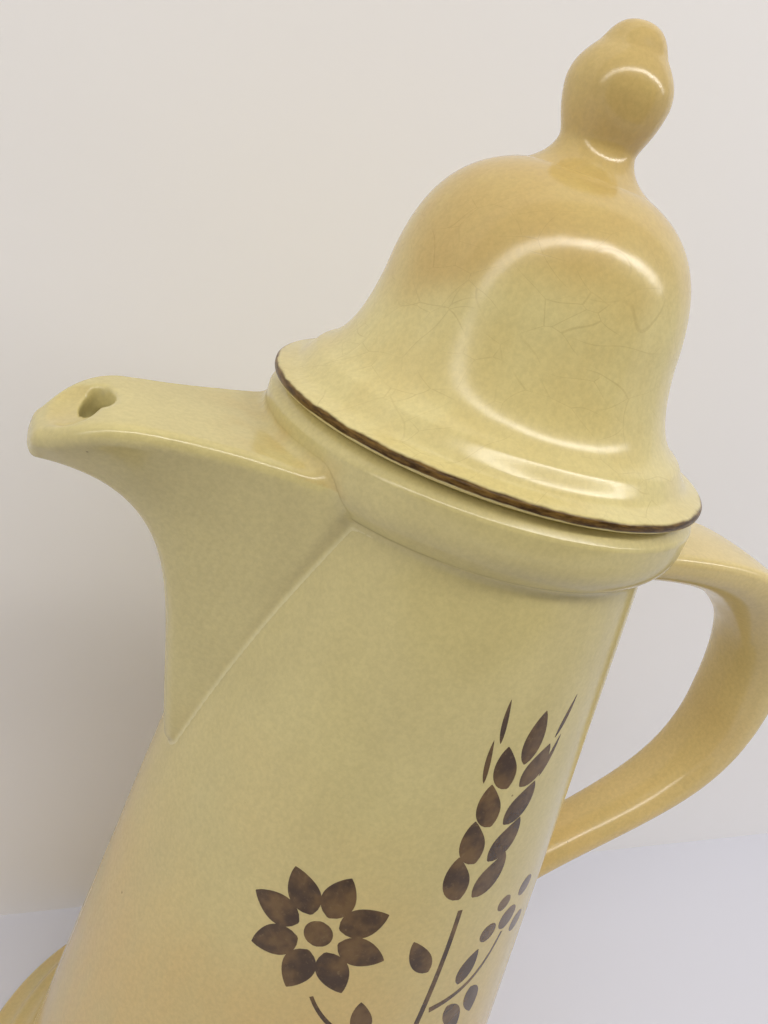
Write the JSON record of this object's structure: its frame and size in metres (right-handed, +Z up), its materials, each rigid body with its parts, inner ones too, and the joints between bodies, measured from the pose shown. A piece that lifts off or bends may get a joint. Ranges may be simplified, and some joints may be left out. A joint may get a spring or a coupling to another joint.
{
  "type": "stoneware coffee pot",
  "caption": "Tall glazed stoneware coffee pot: a tapered body with a flared foot, a long beak spout, a loop handle and a lift-off bell lid with a ball-and-cone knob.",
  "frame": {"origin": "on the surface that the pot stands on, under the middle of the pot's bounding box; the pot's own axis stands at x = -11.75 mm", "axes": "+Z up along the pot's axis, -X along the spout, +X along the handle"},
  "size_m": [0.1699, 0.13, 0.2632],
  "materials": {
    "body_glaze": "glossy tan-yellow glaze over stoneware, with a brown leaf-and-bud decoration on the front",
    "lid_glaze": "glossy tan-yellow glaze over stoneware, finely crazed, with a dark brown line round the brim"
  },
  "bodies": {
    "pot": {"body": "body_glaze", "spout": "body_glaze", "handle": "body_glaze"},
    "lid": {"lid": "lid_glaze", "knob": "lid_glaze"}
  },
  "joints": [
    {"name": "lid_lift", "type": "slide", "parent": "pot", "child": "lid", "axis": [0, 0, 1], "range_m": [0, 0.08]}
  ]
}
